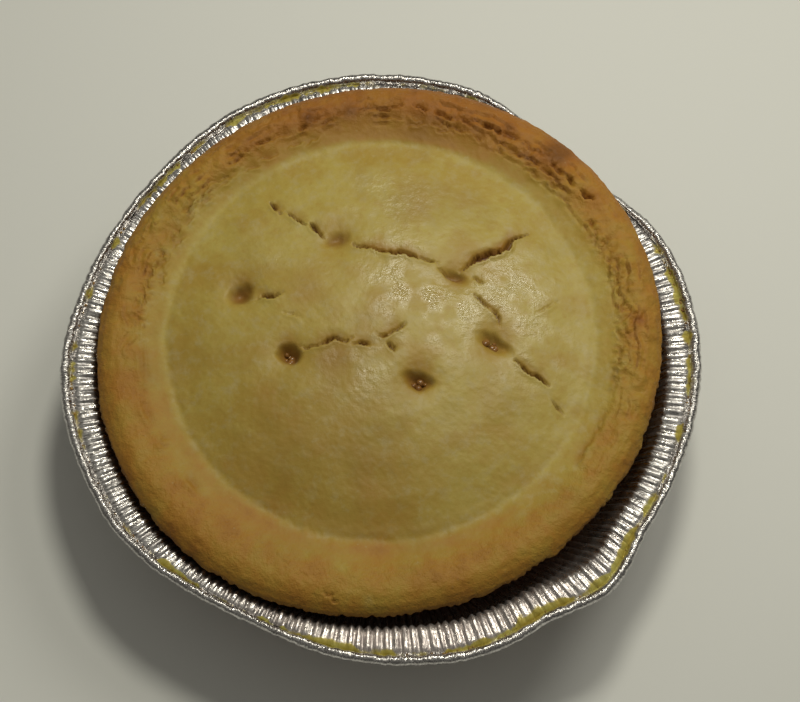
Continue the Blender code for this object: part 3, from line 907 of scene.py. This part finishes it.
def makeFoilMaterial():
    surface, tree, shader = newMaterial("bakedFoil")
    place = tree.nodes.new("ShaderNodeTexCoord").outputs["Object"]
    mottle = groupNode(tree, mottleGroup, **{"Blotch Scale": 210.0, "Grain Scale": 1800.0})
    crinkle = noiseNode(tree, place, 420.0, 4.0, 0.6)
    scuff = noiseNode(tree, place, 1500.0, 2.0)
    # streaks run outward from the dish's axis
    split = tree.nodes.new("ShaderNodeSeparateXYZ")
    link(tree, place, split.inputs[0])
    turn = mathNode(tree, "ARCTAN2", split.outputs["Y"], split.outputs["X"])
    squares = [mathNode(tree, "POWER", split.outputs[axis], 2.0) for axis in "XY"]
    reach = mathNode(tree, "POWER", mathNode(tree, "ADD", *squares), 0.5)
    polar = tree.nodes.new("ShaderNodeCombineXYZ")
    link(tree, times(tree, turn, foilLook["streaksAround"]), polar.inputs["X"])
    link(tree, times(tree, reach, foilLook["streaksOutward"]), polar.inputs["Y"])
    streaks = noiseNode(tree, polar.outputs[0], 1.0, 3.0, 0.6)
    onFlat = remap(tree, painted(tree, "rolled"), 0.0, 1.0, 1.0, 0.6)     # fewer on the bead
    browned = painted(tree, "browned")
    patchy = remap(tree, mottle["Blotch"], 0.3, 0.7, -0.42, 0.42)
    dirt = remap(tree, mathNode(tree, "ADD", painted(tree, "residue"), patchy), 0.45, 0.70)
    metal = mixColour(tree, remap(tree, crinkle, 0.3, 0.7), foilLook["dark"], foilLook["bright"])
    dim = times(tree, remap(tree, streaks, 0.48, 0.62, 0.0, 0.75), onFlat)
    metal = mixColour(tree, dim, metal, foilLook["streak"])
    # brown tint: baked-on browning, partly a painted reflection of the pie
    metal = mixColour(tree, times(tree, browned, 0.8), metal, foilLook["browned"])
    deeper = remap(tree, mottle["Blotch"], 0.35, 0.65)
    crumbly = mixColour(tree, deeper, foilLook["residuePale"], foilLook["residueDeep"])
    link(tree, mixColour(tree, dirt, metal, crumbly), shader.inputs["Base Color"])
    dull = mathNode(tree, "MAXIMUM", times(tree, dirt, 0.85), times(tree, browned, 0.65))
    link(tree, mathNode(tree, "SUBTRACT", 1.0, dull), shader.inputs["Metallic"])
    shine = remap(tree, scuff, 0.3, 0.7, 0.09, 0.21)
    streaky = times(tree, remap(tree, streaks, 0.38, 0.62, 0.0, 0.30), onFlat)
    for rougher in (streaky, times(tree, browned, 0.16), times(tree, dirt, 0.12)):
        shine = mathNode(tree, "ADD", shine, rougher)
    link(tree, shine, shader.inputs["Roughness"])
    pressed = bumpNode(tree, crinkle, 0.7, foilLook["crinkleHeight"])
    rolled = remap(tree, painted(tree, "rolled"), 0.0, 1.0, 0.36, 0.78)
    drawn = bumpNode(tree, streaks, rolled, foilLook["streakHeight"], pressed)
    link(tree, drawn, shader.inputs["Normal"])
    return surface


def dishRelief(radius, height, degrees, turn):  # the dents, then the uneven foil
    foot, inner = dish["wallFoot"][1], dish["flange"][-1][0]
    rise = np.clip((height - foot) / (dish["wallTop"] - foot), 0, 1)
    reach = np.clip((radius - inner) / (dish["beadCentre"][0] - inner), 0, 1)
    pushed, raised = radius.copy(), height.copy()
    for centre, spread, wallPush, rimPush, rimDrop in dishDents:
        share = lobe(degrees, centre, spread)[None, :]
        pushed += share * (wallPush * rise ** 1.5 + rimPush * reach)
        raised -= share * rimDrop * reach
    centre, spread, widening = dish["wideFlange"]
    pushed -= widening * lobe(degrees, centre, spread) * bell(radius - 57.4, 0.9)
    x, y = pushed * np.cos(turn), pushed * np.sin(turn)
    rim = between(radius, 60.8, 61.8)
    pushed += rise * dish["wallNoise"] * fractal(x / 5, y / 5, raised / 5, 2, seed=71)
    pushed += rim * dish["beadNoiseOut"] * fractal(x / 0.95, y / 0.95, raised / 1.1, 2, seed=73)
    raised += reach * dish["flangeNoise"] * fractal(x / 6 + 9, y / 6, 0, 2, seed=72)
    raised += rim * dish["beadNoiseUp"] * fractal(x / 0.95, y / 0.95, raised / 1.1, 2, seed=74)
    return pushed * np.cos(turn), pushed * np.sin(turn), raised, rise


def dishMasks(radius, height, rise, degrees):  # where it is pleated, dirty, browned with a painted reflection of the pie, and rolled
    onFlange = between(radius, 57.0, 58.2) * (1 - between(radius, 60.7, 61.5))
    onWall = between(height, 1.0, 9.0) * (radius < 57.9)
    pleat = np.clip(onFlange * 0.75 + onWall, 0, 1) * (radius < 61.5)
    patches = dish["residue"]
    for centre, spread, amount in residueSides:
        patches = patches + amount * lobe(degrees, centre, spread)
    patches = patches + 0.75 * fractal(degrees / 4.0, 0.0, 0.0, 3, seed=75)
    spilled = 0.5 * between(patches, 0.6, 1.1)[None, :] * between(radius, 58, 61) * (radius < 61.9)
    residue = bell(radius - 61.5, 0.8) * patches[None, :] + spilled
    # the lower wall browned, partly a painted reflection of the brown pie
    browned = (1 - between(rise, 0.50, 0.85)) * (radius < 57.6)
    centre, spread, amount = dish["brownedFlange"]
    browned = np.maximum(browned, amount * lobe(degrees, centre, spread) * (radius < 61.2))
    return {"pleat": pleat, "residue": residue, "browned": browned, "rolled": between(radius, 61.2, 62.0)}


def makeDish():
    profile = dishProfile()
    rows, count = len(profile), dish["segments"]
    turn = np.arange(count) * 2 * np.pi / count
    degrees = np.degrees(turn)
    radius = np.repeat(profile[:, 0][:, None], count, 1)
    height = np.repeat(profile[:, 1][:, None], count, 1)
    x, y, raised, rise = dishRelief(radius, height, degrees, turn)
    points = np.stack([x, y, raised], -1).reshape(-1, 3)
    points = np.vstack([points, [[0, 0, 0]]]) * mm      # the last one is the middle of the base
    masks = dishMasks(radius, height, rise, degrees)
    painted = {name: np.append(mask.ravel(), 1 if name == "browned" else 0) for name, mask in masks.items()}
    j = np.arange(count)
    faces = []
    for k in range(rows - 1):
        a, b = k * count + j, (k + 1) * count + j
        c, d = (k + 1) * count + (j + 1) % count, k * count + (j + 1) % count
        faces += np.stack([a, b, c, d], -1).tolist()
    last, centre = (rows - 1) * count, len(points) - 1
    faces += np.stack([last + j, np.full(count, centre), last + (j + 1) % count], -1).tolist()
    made = makeObject("foilDish", points, faces, painted)
    press = made.modifiers.new("pressPleats", "NODES")
    press.node_group = pleatTree()
    setInputs(press, {"Pleats": dish["pleats"], "Depth": dish["pleatDepth"] * mm,
                      "Wander": dish["pleatWander"], "Coat": makeFoilMaterial()})
    wall = made.modifiers.new("foilWall", "SOLIDIFY")
    wall.thickness = dish["thickness"] * mm
    wall.offset = -1.0
    asPlainMesh(made, "foilDish")
    made.data.shade_smooth()
    return made


foilDish = makeDish()
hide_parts("foil_dish")
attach(foilDish, "root")
print("pork pie: foil dish", len(foilDish.data.polygons), "faces")

# small loose things, instanced on points and made real
bits = {
    "channelCrumbs": {
        "count": 150,
        "size": (0.10, 0.34),
        "seed": 5,
        "sides": (128, 240, 205, 300, 10, 170),     # where they gather, in degrees
        "bareFarRight": (25, 68),
        "dark": (0.17, 0.075, 0.018),
        "light": (0.36, 0.22, 0.06),
        "rough": 0.65,
    },
    "ventFilling": {
        "count": 6,
        "size": (0.40, 0.85),
        "seed": 7,
        "dark": (0.15, 0.062, 0.015),
        "light": (0.34, 0.17, 0.045),
        "rough": 0.22,
    },
}


def scatterTree(name, detail):  # small lumps on every point, turned and sized at random
    tree, given, end = newTree(name, (("Smallest", "Float"), ("Largest", "Float"), ("Seed", "Int"),
                                      ("Coat", "Material")))
    lump = tree.nodes.new("GeometryNodeMeshIcoSphere")
    lump.inputs["Radius"].default_value = 1.0
    lump.inputs["Subdivisions"].default_value = detail
    spin = tree.nodes.new("FunctionNodeRandomValue")
    spin.data_type = "FLOAT_VECTOR"
    spin.inputs["Max"].default_value = (6.28, 6.28, 6.28)
    link(tree, given["Seed"], spin.inputs["Seed"])
    size = tree.nodes.new("FunctionNodeRandomValue")
    size.data_type = "FLOAT"
    link(tree, given["Smallest"], size.inputs[2])
    link(tree, given["Largest"], size.inputs[3])
    link(tree, given["Seed"], size.inputs["Seed"])
    place = tree.nodes.new("GeometryNodeInstanceOnPoints")
    link(tree, given["Geometry"], place.inputs["Points"])
    link(tree, lump.outputs["Mesh"], place.inputs["Instance"])
    link(tree, spin.outputs[0], place.inputs["Rotation"])
    link(tree, size.outputs[1], place.inputs["Scale"])
    plain = tree.nodes.new("GeometryNodeRealizeInstances")
    link(tree, place.outputs[0], plain.inputs[0])
    dent = tree.nodes.new("ShaderNodeTexNoise")
    dent.inputs["Scale"].default_value = 1600.0
    shift = tree.nodes.new("ShaderNodeVectorMath")
    shift.operation = "MULTIPLY_ADD"
    link(tree, dent.outputs["Color"], shift.inputs[0])
    shift.inputs[1].default_value = (0.0003, 0.0003, 0.0002)
    shift.inputs[2].default_value = (-0.00015, -0.00015, -0.0001)
    finishTree(tree, plain.outputs[0], shift.outputs[0], given["Coat"], end)
    return tree


def scatter(name, places, coatName, detail):
    loose = bits[name]
    made = makeObject(name, np.array(places), [])
    grow = made.modifiers.new(name, "NODES")
    grow.node_group = scatterTree(name, detail)
    setInputs(grow, {"Smallest": loose["size"][0] * mm, "Largest": loose["size"][1] * mm,
                     "Seed": loose["seed"], "Coat": makeCrumbMaterial(coatName, loose)})
    asPlainMesh(made, name)
    made.data.shade_smooth()
    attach(made, "root")
    return made


def makeCrumbMaterial(name, loose):
    surface, tree, shader = newMaterial(name)
    mottle = groupNode(tree, mottleGroup, **{"Blotch Scale": 400.0, "Grain Scale": 2500.0})
    share = remap(tree, mottle["Blotch"], 0.35, 0.65)
    colour = mixColour(tree, share, (*loose["dark"], 1), (*loose["light"], 1))
    link(tree, colour, shader.inputs["Base Color"])
    uneven = remap(tree, mottle["Grain"], 0.3, 0.7, loose["rough"] - 0.08, loose["rough"] + 0.08)
    link(tree, uneven, shader.inputs["Roughness"])
    link(tree, bumpNode(tree, mottle["Grain"], 0.4, 0.0001), shader.inputs["Normal"])
    return surface


def dishPoint(turn, radius, height):  # a place on the dented rim, in metres
    inner = dish["flange"][-1][0]
    reach = min(1.0, max(0.0, (radius - inner) / (dish["beadCentre"][0] - inner)))
    for centre, spread, wallPush, rimPush, rimDrop in dishDents:
        share = float(lobe(np.array(turn), centre, spread))
        radius += share * (wallPush + rimPush * reach)
        height -= share * rimDrop * reach
    around = math.radians(turn)
    return (radius * math.cos(around) * mm, radius * math.sin(around) * mm, height * mm)


def crumbPlaces():
    loose = bits["channelCrumbs"]
    low, high = loose["bareFarRight"]
    dice = np.random.default_rng(loose["seed"])
    places = []
    while len(places) < loose["count"]:
        turn = dice.choice(loose["sides"]) + dice.normal(0, 15)
        if low < turn % 360 < high:
            continue
        places.append(dishPoint(turn, 61.6 + dice.uniform(-0.3, 0.3), 26.72))
    return places


def fillingPlaces():
    lumps = bits["ventFilling"]
    dice = np.random.default_rng(lumps["seed"])
    places = []
    for ventX, ventY, longRadius, shortRadius, turn, depth, dark in vents[2:5]:
        cosine, sine = math.cos(math.radians(turn)), math.sin(math.radians(turn))
        for _ in range(lumps["count"]):
            u, v = dice.uniform(-0.5, 0.5) * longRadius, dice.uniform(-0.6, 0.3) * shortRadius
            inside = 1.0 - math.hypot(u / longRadius, v / shortRadius)
            down = -1.0 - 0.85 * depth * inside ** 0.8
            places.append(pieSurface(ventX + u * cosine - v * sine, ventY + u * sine + v * cosine, down))
    return places


crumbs = scatter("channelCrumbs", crumbPlaces(), "bakedCrumb", detail=1)
filling = scatter("ventFilling", fillingPlaces(), "glossyFilling", detail=3)
print("pork pie: crumbs and filling")
